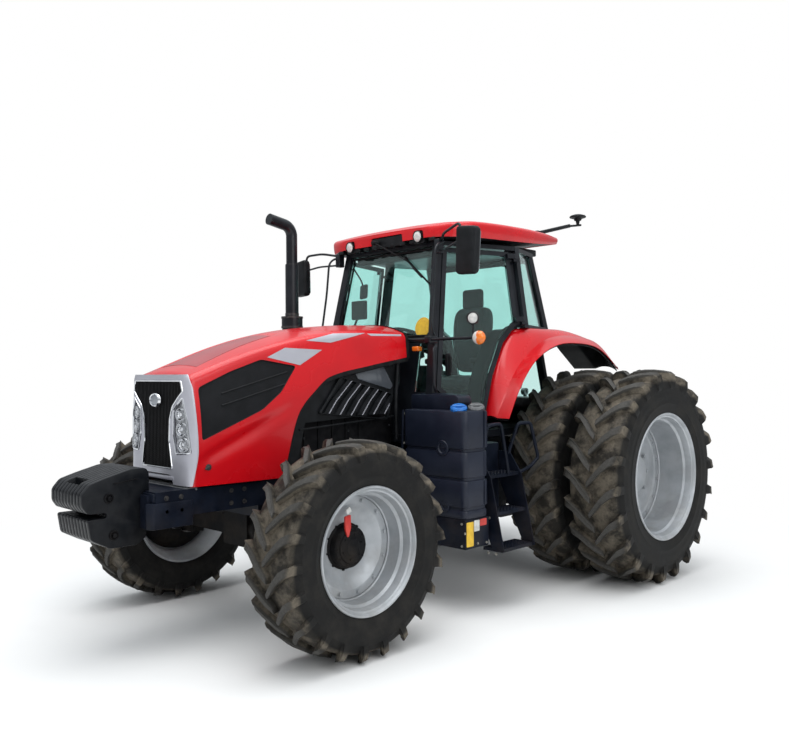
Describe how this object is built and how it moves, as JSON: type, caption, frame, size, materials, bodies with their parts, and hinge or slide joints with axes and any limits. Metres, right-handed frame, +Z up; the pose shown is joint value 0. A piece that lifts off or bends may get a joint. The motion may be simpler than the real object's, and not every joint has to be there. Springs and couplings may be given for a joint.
{
  "type": "farm tractor",
  "caption": "Farm tractor with a hinged hood, closed glazed cab, dual rear wheels, steered front axle, nose weights, entry steps and a rear linkage with drive shaft.",
  "frame": {"origin": "on the ground, midway along the length and the width", "axes": "+X to the tractor's left, -Y to the front, +Z up"},
  "size_m": [3.325, 5.2831, 3.2098],
  "materials": {
    "rim_silver": "satin silver paint",
    "tyre_rubber": "matt rubber, dusty lugs",
    "frame_dark": "black-blue satin paint",
    "cast_dark": "painted castings",
    "steel": "bare steel",
    "hood_red": "gloss red paint",
    "silver_paint": "silver paint",
    "mesh_dark": "black perforated sheet",
    "lamp_lens": "clear lens",
    "signal_amber": "amber and black plastic",
    "tinted_glass": "teal tint",
    "interior_plastic": "grained plastic",
    "seat_fabric": "woven cloth",
    "rubber_trim": "matt black rubber",
    "chrome_trim": "bright chrome",
    "cap_blue": "blue moulded plastic",
    "blank_label": "plain sticker without print",
    "tank_plastic": "moulded black plastic",
    "antenna_plastic": "pale plastic"
  },
  "bodies": {
    "knuckle_left": {"knuckle_left": "frame_dark"},
    "front_wheel_left": {"front_rim_left": "rim_silver", "front_tyre_left": "tyre_rubber", "front_hub_left": "frame_dark"},
    "rear_wheel_left": {"rear_rims_left": "rim_silver", "rear_tyres_left": "tyre_rubber"},
    "door_left": {"door_left": "frame_dark", "door_glass_left": "tinted_glass"},
    "knuckle_right": {"knuckle_right": "frame_dark"},
    "front_wheel_right": {"front_rim_right": "rim_silver", "front_tyre_right": "tyre_rubber", "front_hub_right": "frame_dark"},
    "rear_wheel_right": {"rear_rims_right": "rim_silver", "rear_tyres_right": "tyre_rubber"},
    "door_right": {"door_right": "frame_dark", "door_glass_right": "tinted_glass"},
    "hood": {"hood_shell": "hood_red", "grille_surround": "silver_paint", "grille_mesh": "mesh_dark", "headlamps": "lamp_lens", "hood_side_meshes": "mesh_dark"},
    "tie_rod": {"tie_rod": "steel"},
    "steering_wheel": {"steering_wheel": "interior_plastic"},
    "pto_shaft": {"pto_shaft": "steel"},
    "lower_links": {"lower_links": "frame_dark"},
    "rocker_arms": {"rocker_arms": "frame_dark"},
    "lift_rods": {"lift_rods": "frame_dark"},
    "top_link": {"top_link": "frame_dark"},
    "tractor": {"cab_floor": "interior_plastic", "cab_frame": "frame_dark", "cab_roof": "hood_red", "chassis_rails": "frame_dark", "dashboard": "interior_plastic", "drawbar": "frame_dark", "engine_block": "cast_dark", "entry_steps": "frame_dark", "exhaust_stack": "mesh_dark", "fender_left": "hood_red", "fender_right": "hood_red", "front_axle_beam": "cast_dark", "front_weights": "cast_dark", "gps_antenna": "antenna_plastic", "hitch_frame": "frame_dark", "mirrors": "frame_dark", "radiator": "frame_dark", "rear_axle_housing": "cast_dark", "rear_window": "tinted_glass", "seat_backrest": "seat_fabric", "seat_base": "interior_plastic", "seat_cushion": "seat_fabric", "side_panels": "frame_dark", "side_tank_left": "tank_plastic", "side_tank_right": "tank_plastic", "side_windows": "tinted_glass", "tank_covers": "tank_plastic", "transmission_housing": "cast_dark", "turn_signals": "signal_amber", "weight_carrier": "frame_dark", "windscreen": "tinted_glass", "work_lamps": "lamp_lens"}
  },
  "joints": [
    {"name": "steer_left", "type": "hinge", "parent": "tractor", "child": "knuckle_left", "pos_m": [0.8, -1.33, 0.66], "axis": [0, 0, 1], "range_deg": [-38, 38]},
    {"name": "steer_right", "type": "hinge", "parent": "tractor", "child": "knuckle_right", "pos_m": [-0.8, -1.33, 0.66], "axis": [0, 0, 1], "range_deg": [-38, 38]},
    {"name": "tie_rod_pivot", "type": "hinge", "parent": "knuckle_left", "child": "tie_rod", "pos_m": [0.8, -1.13, 0.551], "axis": [0, 0, 1], "range_deg": [-38, 38]},
    {"name": "hood_hinge", "type": "hinge", "parent": "tractor", "child": "hood", "pos_m": [0, -0.35, 1.985], "axis": [-1, 0, 0], "range_deg": [0, 50]},
    {"name": "door_hinge_left", "type": "hinge", "parent": "tractor", "child": "door_left", "pos_m": [0.80665, 0.72324, 2.40231], "axis": [-0.1513, 0, 0.9885], "range_deg": [0, 80]},
    {"name": "door_hinge_right", "type": "hinge", "parent": "tractor", "child": "door_right", "pos_m": [-0.80665, 0.72324, 2.40231], "axis": [-0.1513, 0, -0.9885], "range_deg": [0, 80]},
    {"name": "steering_column", "type": "hinge", "parent": "tractor", "child": "steering_wheel", "pos_m": [0, 0.3, 2], "axis": [0, 0.45, 0.893], "range_deg": [-540, 540]},
    {"name": "pto_spin", "type": "hinge", "parent": "tractor", "child": "pto_shaft", "pos_m": [0, 1.93, 0.69], "axis": [0, 1, 0], "continuous": true},
    {"name": "lower_link_lift", "type": "hinge", "parent": "tractor", "child": "lower_links", "pos_m": [0, 1.9, 0.56], "axis": [1, 0, 0], "range_deg": [-20, 25]},
    {"name": "rocker_lift", "type": "hinge", "parent": "tractor", "child": "rocker_arms", "pos_m": [0, 1.87, 1.12], "axis": [1, 0, 0], "range_deg": [-20, 25]},
    {"name": "lift_rod_pivot", "type": "hinge", "parent": "lower_links", "child": "lift_rods", "pos_m": [0, 2.3, 0.56], "axis": [1, 0, 0], "range_deg": [-25, 20]},
    {"name": "top_link_pivot", "type": "hinge", "parent": "tractor", "child": "top_link", "pos_m": [0, 2.005, 0.98], "axis": [-1, 0, 0], "range_deg": [0, 100]},
    {"name": "front_wheel_spin_left", "type": "hinge", "parent": "knuckle_left", "child": "front_wheel_left", "pos_m": [1.045, -1.33, 0.66], "axis": [1, 0, 0], "continuous": true},
    {"name": "rear_wheel_spin_left", "type": "hinge", "parent": "tractor", "child": "rear_wheel_left", "pos_m": [0.87, 1.6, 0.868], "axis": [1, 0, 0], "continuous": true},
    {"name": "front_wheel_spin_right", "type": "hinge", "parent": "knuckle_right", "child": "front_wheel_right", "pos_m": [-1.045, -1.33, 0.66], "axis": [1, 0, 0], "continuous": true},
    {"name": "rear_wheel_spin_right", "type": "hinge", "parent": "tractor", "child": "rear_wheel_right", "pos_m": [-0.87, 1.6, 0.868], "axis": [1, 0, 0], "continuous": true}
  ],
  "couplings": [
    {"joint": "steer_right", "follows": "steer_left", "ratio": 1},
    {"joint": "tie_rod_pivot", "follows": "steer_left", "ratio": -1},
    {"joint": "rocker_lift", "follows": "lower_link_lift", "ratio": 1},
    {"joint": "lift_rod_pivot", "follows": "lower_link_lift", "ratio": -1}
  ]
}
